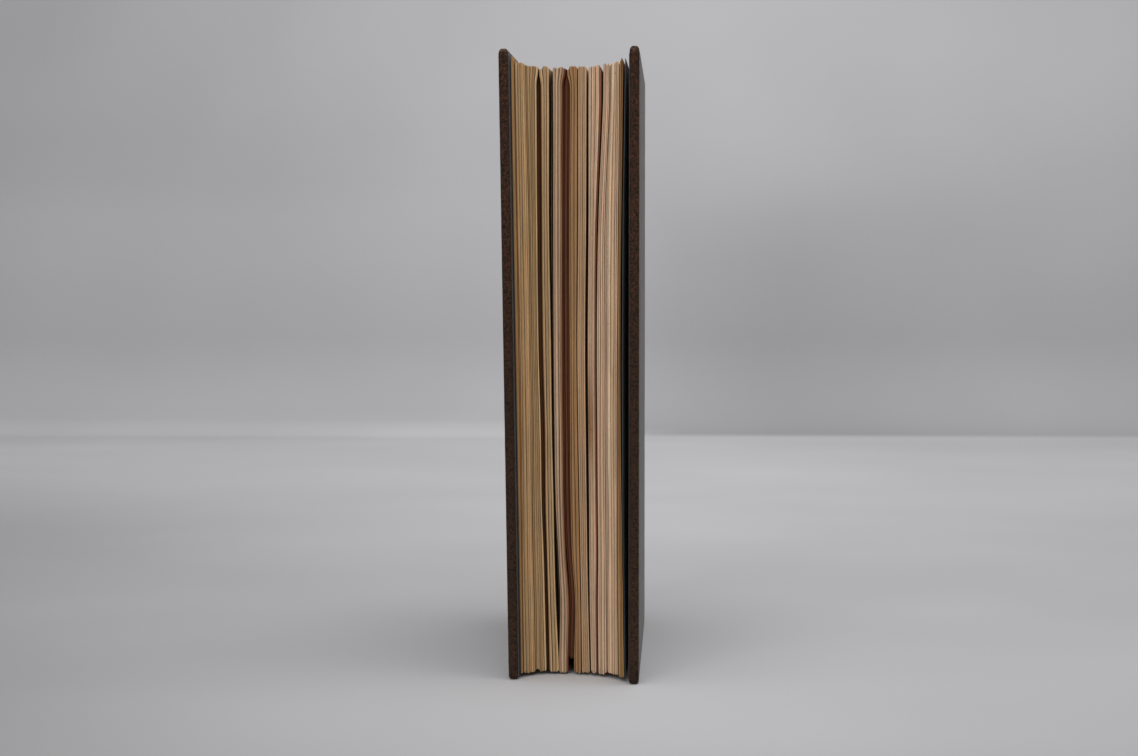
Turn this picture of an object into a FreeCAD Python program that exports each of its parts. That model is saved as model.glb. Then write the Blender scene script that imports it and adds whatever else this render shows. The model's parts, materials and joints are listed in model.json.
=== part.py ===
import FreeCAD, Part
import math
import os

# An old hardback book that stands on the tail edges of its boards. Lengths are in millimetres.
# The fore-edge faces -Y and the spine +Y. The front cover is on the -X side, the back cover on +X.
# Each cover is drawn in three cover measures: u runs from its hinge axis to the fore-edge, w runs
# outwards through its thickness from the leather's outer face at the hinge, and z runs up.

# Boards and what covers them
board_height = 254.0
board_width = 172.0
board_thickness = 2.8
leather = 0.6
turn_in = 15.0
pastedown = 0.2
pastedown_inset = 3.0
corner_radius = 3.0
edge_round = 1.3

# Joint between a cover and the spine
joint_gap = 1.5
skin_gap = 0.4
shoulder_back = 1.6
shoulder_below = 1.9
flare_start = 1.2
# Share of the flare that the side has already made where it passes the hinge
flare_at_hinge = 0.25
# How far the spine's strips lie below the covers' outer faces at the joints
strip_set_in = 0.12
# How much further forward the back cover's hinge lies than the front cover's, the book being cocked
skew = 9.0

# How far each cover's fore-edge stands out at its tail and at its head
front_splay_tail = -3.05
front_splay_head = 0.95
back_splay_tail = 1.2
back_splay_head = 1.2

# Text block
spine_thickness = 45.0
spine_round = 14.5
fore_edge_hollow = 14.0
fore_edge_square = 4.6
square = 3.2
fore_edge_drop = 1.6
middle_sag = 1.5
# How far from the hinges the heads and tails of the leaves stay level before they sag
level_reach = 15.0
flyleaf = 0.25
cover_clearance = 0.35
# The free endpapers lie loose, this far off the block's sides
loose = 0.05
# How far the block has drawn in from the back cover's side at tail, middle and head
back_slack = (0.2, 1.7, 0.7)
# How far the loose back flyleaf stands off the block at its fore-edge
flyleaf_stand = (0.35, 0.6, 0.9)

# Gatherings from front to back: thickness, set back, open gap after it and that gap's depth,
# how much lower its head is, how much higher its tail is
gatherings = (
    (2.0, 0.6, 0.25, 12.0, 0.3, 0.0),
    (4.8, 0.0, 0.25, 20.0, 0.0, 0.0),
    (3.7, 0.2, 0.30, 25.0, 0.2, 0.1),
    (1.4, 5.0, 0.20, 12.0, 1.6, 0.6),
    (3.9, 0.0, 0.90, 60.0, 0.0, 0.0),
    (3.4, 0.3, 0.25, 20.0, 0.3, 0.2),
    (2.8, 2.0, 0.25, 20.0, 1.0, 6.5),
    (3.2, 0.0, 0.35, 25.0, 0.1, 0.0),
    (3.2, 0.4, 0.80, 50.0, 0.0, 0.2),
    (3.4, 0.0, 0.80, 45.0, 0.3, 0.0),
    (3.6, 0.3, 0.30, 25.0, 0.0, 0.1),
    (3.2, 0.1, 0.30, 25.0, 0.2, 0.0),
    (2.6, 0.7, 0.25, 12.0, 0.0, 0.2),
)

# Spine linings, bands and caps
mull = 0.4
spine_hollow = 0.8
headband_radius = 1.1
headband_flange = 12.0
bead_sides = 6
cap_lip = 0.7
cap_bevel = 0.56
cap_reach = 2.6
tape_width = 12.0
tape_thickness = 0.4
tape_places = (0.18, 0.38, 0.62, 0.82)

# What follows from the sizes above
V = FreeCAD.Vector
UP = V(0, 0, 1)
cased = leather + board_thickness + leather
cover_thickness = cased + pastedown
cover_reach = joint_gap + board_width
hinge_x = spine_thickness / 2 + flyleaf + cover_clearance + cover_thickness
side_below = cover_thickness + cover_clearance + flyleaf
FRONT, BACK = -1, 1
touching = 0.05
splay = {FRONT: (front_splay_tail, front_splay_head), BACK: (back_splay_tail, back_splay_head)}
stations = 5


def hinge_y(side):
    """The hinge axes differ in depth because the book is cocked."""
    return -side * skew / 2


def place(side, u, w, z):
    """A point given in one side's measures, with no splay."""
    return V(side * (hinge_x + w), hinge_y(side) - u, z)


def on_cover(side, u, w, z):
    """A point of a cover, which stands out more towards its fore-edge and is a little twisted."""
    tail, head = splay[side]
    out = tail + (head - tail) * z / board_height
    return place(side, u, w + out * u / cover_reach, z)


def line(a, b):
    return Part.LineSegment(a, b).toShape()


def arc(a, b, c):
    return Part.Arc(a, b, c).toShape()


def through_three(values, t):
    """The parabola that has the three values at t = 0, 0.5 and 1."""
    low, middle, high = values
    return low * (1 - t) * (1 - 2 * t) + 4 * middle * t * (1 - t) + high * t * (2 * t - 1)


# Covers
def box_between(a, b):
    """An upright box with two opposite corners at a and b."""
    low = V(min(a.x, b.x), min(a.y, b.y), min(a.z, b.z))
    return Part.makeBox(abs(a.x - b.x), abs(a.y - b.y), abs(a.z - b.z), low)


def even_steps(ends, count):
    """The two ends and the even steps between them."""
    return [ends[0] + (ends[1] - ends[0]) * i / count for i in range(count + 1)]


def slab(side, reach, depth, height):
    """One layer of a cover between two u, two w and two z: its twisted inner face, thickened."""
    ends = [line(on_cover(side, u, depth[0], height[0]), on_cover(side, u, depth[0], height[1]))
            for u in reach]
    return Part.makeRuledSurface(*ends).extrude(V(side * (depth[1] - depth[0]), 0, 0))


def level_slab(side, reach, depth, height):
    """A slab cut level at head and tail, so that it stands on a true plane."""
    spare = cased
    tall = slab(side, reach, depth, (height[0] - spare, height[1] + spare))
    return tall.common(box_between(place(side, reach[0] - spare, -hinge_x, height[0]),
                                   place(side, reach[1] + spare, hinge_x, height[1])))


def round_corners(side, solid, fore_edge, radius):
    """Rounds the two corners at the fore-edge, seen from the side."""
    far = hinge_y(side) - fore_edge
    corners = [e for e in solid.Edges if abs(e.CenterOfMass.y - far) < touching and e.Length < 2 * cased]
    return solid.makeFillet(radius, corners)


def round_outline(side, solid, spine_edge, radius):
    """Rounds the edges of a cover's two large faces, apart from those at the spine."""
    large = sorted(solid.Faces, key=lambda face: face.Area)[-2:]
    near = hinge_y(side) - spine_edge
    return solid.makeFillet(radius, [e for face in large for e in face.Edges
                                     if near - e.CenterOfMass.y > touching])


def board(side):
    """The millboard, a leather's thickness inside the three turned-in edges."""
    fore_edge = cover_reach - leather
    raw = slab(side, (joint_gap, fore_edge), (leather - cased, -leather), (leather, board_height - leather))
    return round_corners(side, raw, fore_edge, corner_radius - leather)


def infill(side, depth):
    """The sheet that fills the field inside the turn-ins, level with them."""
    return slab(side, (joint_gap, cover_reach - turn_in), depth, (turn_in, board_height - turn_in))


def cover_leather(side):
    """One skin: outside of the board, round three edges, turned in, and a tongue over the joint."""
    skin = level_slab(side, (skin_gap, cover_reach), (-cased, 0), (0, board_height))
    skin = round_corners(side, skin, cover_reach, corner_radius)
    skin = round_outline(side, skin, skin_gap, edge_round)
    field = infill(side, (-2 * cased, -cased / 2))
    under_tongue = slab(side, (0, joint_gap), (-2 * cased, -leather), (-leather, board_height + leather))
    return skin.cut(board(side)).cut(field).cut(under_tongue)


def cover_pastedown(side):
    """The endpaper's half that is glued to the inside of the cover."""
    return slab(side, (joint_gap, cover_reach - pastedown_inset), (-cover_thickness, -cased),
                (pastedown_inset, board_height - pastedown_inset))


# Text block
def shoulder(side, z):
    return place(side, -shoulder_back, -shoulder_below, z)


def spine_arc_points(z):
    """The round of the spine folds from the back shoulder over the middle to the front shoulder."""
    middle = V(0, shoulder_back + spine_round, z)
    return shoulder(BACK, z), middle, shoulder(FRONT, z)


def fore_edge_x(side, t):
    """Where the block's side meets the fore-edge, at height t from 0 at the tail to 1 at the head."""
    if side == FRONT:
        return on_cover(side, cover_reach - fore_edge_square, -side_below, t * board_height).x
    return spine_thickness / 2 - through_three(back_slack, t)


def fore_edge_y(x, t):
    """The hollow fore-edge: a round arc over the skewed line between its two corners."""
    left, right = fore_edge_x(FRONT, t), fore_edge_x(BACK, t)
    half, middle = (right - left) / 2, (right + left) / 2
    along = (x - middle) / half
    radius = (half**2 + fore_edge_hollow**2) / (2 * fore_edge_hollow)
    rise = math.sqrt(radius**2 - (half * along) ** 2) - (radius - fore_edge_hollow)
    return -along * skew / 2 - (cover_reach - fore_edge_square) + rise


def gathering_edges(left, right):
    """The left and right limits of each gathering in the width from left to right."""
    sum_of_all = sum(g[0] + g[2] for g in gatherings) - gatherings[-1][2]
    scale = (right - left) / sum_of_all
    at, edges = left, []
    for thickness, _, gap, _, _, _ in gatherings:
        edges.append((at, at + thickness * scale))
        at += (thickness + gap) * scale
    return edges


def fore_edge_points(t, z):
    """The fore-edge from front to back: each gathering's two corners and the bottom of each gap."""
    points = []
    limits = gathering_edges(fore_edge_x(FRONT, t), fore_edge_x(BACK, t))
    for (left, right), (_, set_back, _, depth, _, _) in zip(limits, gatherings):
        points += [V(x, fore_edge_y(x, t) + set_back, z) for x in (left, right)]
        points.append(V(right, points[-1].y + depth, z))
    return points[:-1]


def block_section(t):
    """The block cut across at one height: fore-edge, sides, flared shoulders and round spine."""
    z = t * board_height
    points = fore_edge_points(t, z)
    at_hinge = -side_below + (side_below - shoulder_below) * flare_at_hinge
    back_start, front_start = [place(side, flare_start, -side_below, z) for side in (BACK, FRONT)]
    back_bend, front_bend = [place(side, 0, at_hinge, z) for side in (BACK, FRONT)]
    edges = [line(a, b) for a, b in zip(points, points[1:])]
    edges += [line(points[-1], back_start), arc(back_start, back_bend, shoulder(BACK, z))]
    edges += [arc(*spine_arc_points(z))]
    edges += [arc(shoulder(FRONT, z), front_bend, front_start), line(front_start, points[0])]
    return Part.Wire(edges)


def skyline_section(y, reach):
    """Heads and tails seen from the fore-edge. reach is 0 at the spine and 1 at the fore-edge."""
    half = spine_thickness / 2
    at_spine = gathering_edges(-half, half)
    heads, tails, ends = [], [], []
    for t in (0, 1):
        at_fore = gathering_edges(fore_edge_x(FRONT, t), fore_edge_x(BACK, t))
        ends.append([(a[0] + (b[0] - a[0]) * reach, a[1] + (b[1] - a[1]) * reach)
                     for a, b in zip(at_spine, at_fore)])
    count = len(gatherings)
    for i, (_, _, _, _, head_low, tail_high) in enumerate(gatherings):
        across = (i + 0.5) / count * 2 - 1
        sag = fore_edge_drop + middle_sag * (1 - across**2)
        head = board_height - square - reach * (sag + head_low)
        tail = square - reach * (sag - tail_high)
        for k in (0, 1):
            heads.append(V(ends[1][i][k], y, head))
            tails.append(V(ends[0][i][k], y, tail))
    wide = spine_thickness
    heads = [V(-wide, y, heads[0].z)] + heads + [V(wide, y, heads[-1].z)]
    tails = [V(-wide, y, tails[0].z)] + tails + [V(wide, y, tails[-1].z)]
    return Part.makePolygon(heads + tails[::-1] + heads[:1])


def skyline():
    """Level at the spine, where the folds are sewn, and sagging towards the fore-edge."""
    fore, flat = -(cover_reach - fore_edge_square) - skew, -level_reach
    depth = cover_reach - fore_edge_square - level_reach
    sections = [skyline_section(fore, 1 + skew / depth), skyline_section(flat, 0),
                skyline_section(2 * spine_round + skew, 0)]
    return Part.makeLoft(sections, True, True)


def text_block():
    block = Part.makeLoft([block_section(t) for t in even_steps((0, 1), stations - 1)], True, True)
    sunk = spine_bands(-tape_thickness, mull)
    return block.common(skyline()).cut(Part.makeCompound(sunk))


def flyleaf_sheet(side, stand):
    """A free endpaper along the block's side, its fore-edge standing off by stand."""
    at_hinge, at_fore_edge = [], []
    for t in even_steps((0, 1), stations - 1):
        z = t * board_height
        corner = fore_edge_points(t, z)[0 if side == FRONT else -1]
        at_fore_edge.append(corner + V(side * (loose + through_three(stand, t)), 0, 0))
        at_hinge.append(place(side, flare_start, loose - side_below, z))
    face = Part.makeLoft([Part.makePolygon(at_hinge), Part.makePolygon(at_fore_edge)], False, True)
    strips = [strip.extrude(V(side * flyleaf, 0, 0)) for strip in face.Faces]
    return strips[0].fuse(strips[1:]).common(skyline_slab())


def skyline_slab():
    """Between the head and the tail of the outermost leaves, which drop towards the fore-edge."""
    depth = cover_reach - fore_edge_square
    far = -2 * depth
    drop = fore_edge_drop * far / -depth
    wide = 2 * spine_thickness
    points = [V(-wide, 0, square), V(-wide, far, square - drop),
              V(-wide, far, board_height - square - drop), V(-wide, 0, board_height - square)]
    face = Part.Face(Part.makePolygon(points + points[:1]))
    return face.extrude(V(2 * wide, 0, 0))


# Spine
def spine_centre():
    """Centre, radius and start angle of the spine's round, and how far it turns, in degrees."""
    first, middle, last = spine_arc_points(0)
    curve = arc(first, middle, last).Curve
    centre = V(curve.Center.x, curve.Center.y, 0)
    angles = [math.degrees(math.atan2(p.y - centre.y, p.x - centre.x)) for p in (first, last)]
    return centre, curve.Radius, angles[0], angles[1] - angles[0]


def spine_turn(profile):
    """Turns a closed profile of (distance from the spine's arc, height) round the spine."""
    centre, radius, start, sweep = spine_centre()
    ray = V(math.cos(math.radians(start)), math.sin(math.radians(start)), 0)
    points = [centre + ray * (radius + out) + UP * z for out, z in profile]
    face = Part.Face(Part.makePolygon(points + points[:1]))
    return face.revolve(centre, UP, sweep)


def spine_sheet(inner, outer, low, high):
    """A lining between two distances from the spine folds and two heights."""
    return spine_turn([(inner, low), (outer, low), (outer, high), (inner, high)])


def spine_bands(inner, outer):
    """The strips across the folds that the gatherings are sewn round."""
    length = board_height - 2 * square
    lows = [square + length * p - tape_width / 2 for p in tape_places]
    return [spine_sheet(inner, outer, low, low + tape_width) for low in lows]


def sewing_tapes():
    return Part.makeCompound(spine_bands(-tape_thickness, 0))


def mull_cloth():
    low = square + headband_flange
    return spine_sheet(0, mull, low, board_height - low)


def hollow_tube():
    return spine_sheet(mull, mull + spine_hollow, square, board_height - square)


def headband(head):
    """A wound bead on the leaves' edges at the folds, with a cloth flange glued down the spine."""
    edge = board_height - square if head else square
    way = 1 if head else -1
    turns = [math.radians((k + 0.5) * 360 / bead_sides - 90) for k in range(bead_sides)]
    flat = headband_radius * math.cos(math.pi / bead_sides)
    middle, bead_z = mull / 2 - headband_radius, edge + way * flat
    bead = [(middle + headband_radius * math.cos(a), bead_z + headband_radius * math.sin(a)) for a in turns]
    ends = sorted((edge - way * headband_flange, bead_z))
    return spine_turn(bead).fuse(spine_sheet(0, mull, *ends)).removeSplitter()


def spine_leather():
    """The skin round the spine, folded in over the headbands, with a strip to each joint."""
    inner = mull + spine_hollow
    outer = inner + leather
    high, bevel = board_height, cap_bevel
    lip_in = outer - cap_reach
    back = [(outer, bevel), (outer, high - bevel), (outer - bevel, high), (lip_in, high),
            (lip_in, high - cap_lip), (inner, high - cap_lip), (inner, cap_lip), (lip_in, cap_lip),
            (lip_in, 0), (outer - bevel, 0)]
    skin = spine_turn(back)
    centre, radius, start, sweep = spine_centre()
    for side, angle in ((BACK, start), (FRONT, start + sweep)):
        ray = V(math.cos(math.radians(angle)), math.sin(math.radians(angle)), 0)
        quad = [centre + ray * (radius + inner), centre + ray * (radius + outer),
                place(side, -skin_gap, -strip_set_in, 0),
                place(side, -skin_gap, -strip_set_in - leather, 0)]
        skin = skin.fuse(Part.Face(Part.makePolygon(quad + quad[:1])).extrude(UP * board_height))
    return skin.removeSplitter()


def all_pieces():
    pieces = {}
    for side, name in ((FRONT, "front"), (BACK, "back")):
        pieces[name + "_board"] = board(side)
        pieces[name + "_cover_leather"] = cover_leather(side)
        pieces[name + "_infill"] = infill(side, (-cased, leather - cased))
        pieces[name + "_pastedown"] = cover_pastedown(side)
    pieces["text_block"] = text_block()
    pieces["front_flyleaf"] = flyleaf_sheet(FRONT, (0, 0, 0))
    pieces["back_flyleaf"] = flyleaf_sheet(BACK, flyleaf_stand)
    pieces["sewing_tapes"] = sewing_tapes()
    pieces["mull"] = mull_cloth()
    pieces["spine_hollow"] = hollow_tube()
    pieces["spine_leather"] = spine_leather()
    pieces["headband"] = headband(True)
    pieces["tailband"] = headband(False)
    return pieces


def main():
    os.makedirs("parts", exist_ok=True)
    pieces = all_pieces()
    box = FreeCAD.BoundBox()
    for shape in pieces.values():
        box.add(shape.optimalBoundingBox())
    to_origin = V(-box.Center.x, -box.Center.y, -box.ZMin)
    for name, shape in pieces.items():
        shape.translate(to_origin)
        shape.exportStep("parts/" + name + ".step")
        print(name, "valid", shape.isValid(), "solids", len(shape.Solids), "volume", round(shape.Volume, 1))
    for side, name in ((FRONT, "front"), (BACK, "back")):
        axis = place(side, 0, 0, 0) + to_origin
        foot = on_cover(side, cover_reach / 2, -cased / 2, 0) + to_origin
        print(name, "hinge axis", [round(v, 4) for v in axis], "foot", [round(v, 4) for v in foot])
    print("box", round(box.XLength, 3), round(box.YLength, 3), round(box.ZLength, 3))
    print("gutter half widths", round(hinge_x, 3), "reach", round(cover_reach, 3))


main()
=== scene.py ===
# %% [markdown]
# # An old hardback book, standing on its tail edges
# The fixed frame gives every solid part of the book at its real size. This file dresses it: it models
# the leaves, the boards, the leather skins, the wound headbands and the paper hinges as surfaces worked
# out with numpy, and paints every piece with procedural finishes. Lengths here are in metres.

# %% Load the frame
import bmesh
import bpy
import json
import math
import numpy as np
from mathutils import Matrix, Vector
from types import SimpleNamespace


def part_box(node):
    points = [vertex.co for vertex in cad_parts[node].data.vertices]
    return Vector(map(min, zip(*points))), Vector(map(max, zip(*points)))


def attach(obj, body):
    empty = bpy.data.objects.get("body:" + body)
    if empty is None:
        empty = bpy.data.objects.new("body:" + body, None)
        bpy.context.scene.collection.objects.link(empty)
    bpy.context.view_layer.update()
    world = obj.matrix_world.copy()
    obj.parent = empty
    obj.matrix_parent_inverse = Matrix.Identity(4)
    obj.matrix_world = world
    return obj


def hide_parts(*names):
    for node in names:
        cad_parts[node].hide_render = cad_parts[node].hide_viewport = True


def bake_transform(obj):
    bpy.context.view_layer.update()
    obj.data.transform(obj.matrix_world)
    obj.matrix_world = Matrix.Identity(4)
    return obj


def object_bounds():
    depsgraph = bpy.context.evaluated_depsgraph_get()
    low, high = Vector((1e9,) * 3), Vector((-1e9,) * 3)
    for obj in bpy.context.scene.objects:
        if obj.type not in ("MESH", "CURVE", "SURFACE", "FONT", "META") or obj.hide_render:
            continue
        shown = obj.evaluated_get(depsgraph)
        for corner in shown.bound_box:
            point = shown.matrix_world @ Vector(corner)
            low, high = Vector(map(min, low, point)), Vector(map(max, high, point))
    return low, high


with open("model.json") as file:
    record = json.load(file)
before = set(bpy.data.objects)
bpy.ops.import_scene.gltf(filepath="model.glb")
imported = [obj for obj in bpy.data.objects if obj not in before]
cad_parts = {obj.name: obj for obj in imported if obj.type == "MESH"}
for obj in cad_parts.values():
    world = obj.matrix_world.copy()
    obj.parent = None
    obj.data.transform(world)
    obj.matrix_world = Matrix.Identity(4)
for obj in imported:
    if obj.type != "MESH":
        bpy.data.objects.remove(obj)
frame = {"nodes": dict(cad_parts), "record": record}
cad_low, cad_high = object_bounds()
print("nodes", len(frame["nodes"]))

# %% [markdown]
# ## Measures shared by all pieces
# A bookbinder measures a cover from its joint. So do the functions here: `u` runs from the hinge axis
# to the fore-edge, `w` runs outwards through the cover from its outer face, and `z` runs up. The frame
# gives the two hinge axes and the height, and the rest are the binder's own sizes.

# %% Cover measures
MM = 0.001
FRONT, BACK = -1, 1
SIDE_NAMES = {FRONT: "front", BACK: "back"}
hinges = {joint["child"]: joint["pos_m"] for joint in frame["record"]["behaviour"]["joints"]}
hinge = {FRONT: hinges["front_cover"], BACK: hinges["back_cover"]}
middle_x = (hinge[FRONT][0] + hinge[BACK][0]) / 2
middle_y = (hinge[FRONT][1] + hinge[BACK][1]) / 2
skew = hinge[FRONT][1] - hinge[BACK][1]
half_hinge = (hinge[BACK][0] - hinge[FRONT][0]) / 2
board_height = cad_high.z
cover_reach = hinge[FRONT][1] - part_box("front_cover_leather")[0].y
leather, cased, cover_thickness = 0.6 * MM, 4.0 * MM, 4.2 * MM
flyleaf, cover_clearance = 0.25 * MM, 0.35 * MM
# Where the skins and the boards begin, measured from the hinge axis
skin_gap, joint_gap = 0.4 * MM, 1.5 * MM
# How far each cover's fore-edge stands out at its tail and at its head
splay = {FRONT: (-3.05 * MM, 0.95 * MM), BACK: (1.2 * MM, 1.2 * MM)}
print("reach", round(cover_reach, 5), "height", round(board_height, 5), "skew", round(skew, 5))


def place(side, u, w, z):
    """Points of one side: x is the hinge plus w outwards, and y falls by u from the hinge."""
    x = hinge[side][0] + side * w + 0 * u
    return np.stack(np.broadcast_arrays(x, hinge[side][1] - u, z), -1)


def on_cover(side, u, w, z):
    """The same on the cover itself, which stands out by its splay, in proportion to u."""
    tail, head = splay[side]
    out = tail + (head - tail) * z / board_height
    return place(side, u, w + out * u / cover_reach, z)


# %% [markdown]
# ## Mesh helpers
# Most pieces of a book are slabs: a gathering of leaves, a board, a strip of paper. A slab can be cut
# from a cube and pushed about by hand, but a skin of cells whose corners are moved by a formula keeps
# every edge closed and every face turned outwards, so that is used here.

# %% Skin of a box of cells
def box_skin(counts, right_handed=True):
    """The skin of a box of cells: for each corner its three cell numbers, and the quads.

    A corner (i, j, l) has the number (i * J + j) * L + l. Each of the six sides is a grid of such
    numbers, and the corners that sides share are joined because their numbers are equal.
    """
    shape = tuple(counts)
    number = np.arange(np.prod(shape)).reshape(shape)
    quads = []
    for axis in range(3):
        for end in (0, -1):
            grid = np.take(number, end, axis=axis)
            quad = np.stack([grid[:-1, :-1], grid[1:, :-1], grid[1:, 1:], grid[:-1, 1:]], -1)
            quad = quad.reshape(-1, 4)
            outward = (end == -1) != (axis == 1)
            quads.append(quad if outward == right_handed else quad[:, ::-1])
    used, quads = np.unique(np.concatenate(quads), return_inverse=True)
    return np.stack(np.unravel_index(used, shape), -1), quads.reshape(-1, 4)


def make_piece(name, points, quads, material, body=None, sharp=40.0):
    """One mesh object at the origin from arrays of points and quads."""
    mesh = bpy.data.meshes.new(name)
    mesh.vertices.add(len(points))
    mesh.vertices.foreach_set("co", np.ascontiguousarray(points, np.float32).ravel())
    mesh.loops.add(quads.size)
    mesh.loops.foreach_set("vertex_index", np.ascontiguousarray(quads, np.int32).ravel())
    mesh.polygons.add(len(quads))
    mesh.polygons.foreach_set("loop_start", np.arange(0, quads.size, 4, dtype=np.int32))
    mesh.update(calc_edges=True)
    mesh.validate()
    mesh.shade_smooth()
    mesh.set_sharp_from_angle(angle=math.radians(sharp))
    mesh.materials.append(material)
    piece = bpy.data.objects.new(name, mesh)
    bpy.context.scene.collection.objects.link(piece)
    if body:
        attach(piece, body)
    print(name, "corners", len(points), "quads", len(quads))
    return piece


def give_attribute(piece, name, values):
    """Stores one number or one colour at each corner of a piece's mesh."""
    values = np.asarray(values, np.float32)
    if values.ndim == 1:
        piece.data.attributes.new(name, "FLOAT", "POINT").data.foreach_set("value", values)
    else:
        rgba = np.concatenate([values, np.ones((len(values), 1), np.float32)], 1)
        piece.data.attributes.new(name, "FLOAT_COLOR", "POINT").data.foreach_set("color", rgba.ravel())


# %% [markdown]
# Nothing on an old book is straight or even. Widths and tones that change along a leaf are smooth
# curves through a few values, and chance is a smooth curve through a few random ones.

# %% Smooth curves and smooth chance
def curve_through(knots, values, at):
    """A smooth curve through values at knots: cubic pieces, each knot's slope from its neighbours."""
    knots, values = np.asarray(knots, float), np.asarray(values, float)
    slopes = np.gradient(values, knots)
    i = np.clip(np.searchsorted(knots, at) - 1, 0, len(knots) - 2)
    step = knots[i + 1] - knots[i]
    s = np.clip((at - knots[i]) / step, 0, 1)
    near, far = 1 - s * s * (3 - 2 * s), s * s * (3 - 2 * s)
    bend = s * (1 - s) * step
    return near * values[i] + far * values[i + 1] + bend * ((1 - s) * slopes[i] - s * slopes[i + 1])


def wander(rng, rows, knots, at):
    """Rows of smooth chance: each row is a smooth curve through random heights at even knots."""
    even = np.linspace(0, 1, knots)
    basis = np.array([curve_through(even, unit, at) for unit in np.eye(knots)])
    return rng.normal(size=(rows, knots)) @ basis


def smooth_step(t):
    """Goes from 0 to 1 as t does, level at both ends."""
    t = np.clip(t, 0, 1)
    return t * t * (3 - 2 * t)


# %% [markdown]
# ## Finishes
# Every finish is built from noise on the object's own coordinates, so that it stays put on the piece
# from any side. A helper adds one node and fills its sockets, which keeps each finish to a few lines.

# %% Node helper and colours
def node(tree, kind, inputs=(), **settings):
    """Adds one shader node. An input given as a socket is linked, any other value is set."""
    made = tree.nodes.new("ShaderNode" + kind)
    for name, value in settings.items():
        setattr(made, name, value)
    for key, value in dict(inputs).items():
        if isinstance(value, bpy.types.NodeSocket):
            tree.links.new(value, made.inputs[key])
        else:
            made.inputs[key].default_value = value
    return made


def paint(red, green, blue):
    """A colour as seen on a screen, 0 to 255, turned into the light that a shader takes."""
    screen = np.array([red, green, blue]) / 255
    return np.where(screen <= 0.04045, screen / 12.92, ((screen + 0.055) / 1.055) ** 2.4)


def rgba(colour):
    return (*[float(c) for c in colour], 1.0)


def new_finish(name, roughness, specular=0.5):
    """A material with its shader, and the object's own coordinates to draw patterns with."""
    material = bpy.data.materials.new(name)
    material.use_nodes = True
    tree = material.node_tree
    shader = tree.nodes["Principled BSDF"]
    shader.inputs["Roughness"].default_value = roughness
    shader.inputs["Specular IOR Level"].default_value = specular
    return material, tree, shader, node(tree, "TexCoord").outputs["Object"]


def noise(tree, where, scale, detail=3.0, roughness=0.55):
    """Cloudy noise whose patches are about one over scale across."""
    inputs = {"Vector": where, "Scale": scale, "Detail": detail, "Roughness": roughness}
    return node(tree, "TexNoise", inputs).outputs["Fac"]


def levels(tree, value, low, high, to_low=0.0, to_high=1.0):
    """Stretches the values between low and high, and holds what lies outside them."""
    inputs = {"Value": value, "From Min": low, "From Max": high, "To Min": to_low, "To Max": to_high}
    return node(tree, "MapRange", inputs).outputs["Result"]


def times(tree, a, b):
    return node(tree, "Math", {0: a, 1: b}, operation="MULTIPLY").outputs[0]


def plus(tree, a, b):
    return node(tree, "Math", {0: a, 1: b}, operation="ADD").outputs[0]


def mix(tree, factor, a, b, blend="MIX"):
    """Mixes two colours, each given as a socket or as a colour."""
    made = node(tree, "Mix", data_type="RGBA", blend_type=blend)
    for index, value in ((0, factor), (6, a), (7, b)):
        if isinstance(value, bpy.types.NodeSocket):
            tree.links.new(value, made.inputs[index])
        else:
            made.inputs[index].default_value = value
    return made.outputs[2]


def bump(tree, shader, height, distance, strength=1.0):
    """Lets a height pattern tilt the surface's light, as if it stood out by distance."""
    inputs = {"Height": height, "Distance": distance, "Strength": strength}
    tree.links.new(node(tree, "Bump", inputs).outputs["Normal"], shader.inputs["Normal"])


def attribute(tree, name, output="Fac"):
    return node(tree, "Attribute", attribute_name=name).outputs[output]


# %% [markdown]
# ### Leather
# The skin is a hard-grained goatskin, dyed dark brown. Its grain is a net of small pebbles about 0.8 mm
# across, which cell noise gives. The dye took unevenly, so small reddish flecks show through, most of
# all towards the head, and where hands and shelves rubbed the corners the skin is paler and rougher.
# A piece says how worn it is with a number at each corner, called wear. A second number, handled, makes
# the skin of the covers rougher towards the fore-edge.

# %% Leather finish
def leather_finish():
    material, tree, shader, where = new_finish("cover_leather_skin", 0.55, 0.12)
    shader.inputs["Sheen Weight"].default_value = 0.14
    shader.inputs["Sheen Roughness"].default_value = 0.3
    height = node(tree, "SeparateXYZ", {0: where}).outputs["Z"]
    cells = node(tree, "TexVoronoi", {"Vector": where, "Scale": 1250.0, "Smoothness": 0.6},
                 feature="SMOOTH_F1").outputs["Distance"]
    flecks = levels(tree, noise(tree, where, 800.0, 2.0), 0.48, 0.62)
    clouds = noise(tree, where, 60.0, 4.0)
    towards_head = levels(tree, height, 0.09, board_height, 0.12, 1.0)
    dyed = mix(tree, levels(tree, clouds, 0.3, 0.7), rgba(paint(40, 26, 16)), rgba(paint(53, 37, 25)))
    fleck_share = times(tree, flecks, towards_head)
    flecked = mix(tree, times(tree, fleck_share, 0.65), dyed, rgba(paint(84, 46, 34)))
    wear = attribute(tree, "wear")
    patches = times(tree, noise(tree, where, 700.0, 4.0, 0.7), 0.9)
    scuffs = levels(tree, plus(tree, wear, patches), 0.95, 1.3)
    worn = mix(tree, scuffs, flecked, rgba(paint(118, 92, 74)))
    grained = mix(tree, levels(tree, cells, 0.35, 0.75), worn, rgba(paint(24, 17, 13)))
    tree.links.new(grained, shader.inputs["Base Color"])
    rough = levels(tree, plus(tree, clouds, times(tree, scuffs, 0.5)), 0.3, 1.1, 0.5, 0.75)
    handled = times(tree, attribute(tree, "handled"), 0.3)
    tree.links.new(plus(tree, rough, handled), shader.inputs["Roughness"])
    creases = noise(tree, where, 260.0, 5.0, 0.6)
    pebbles = times(tree, levels(tree, cells, 0.0, 0.8, 1.0, 0.0), 0.7)
    relief = plus(tree, pebbles, times(tree, creases, 0.8))
    bump(tree, shader, relief, 0.00016)
    return material


skin_finish = leather_finish()

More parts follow.
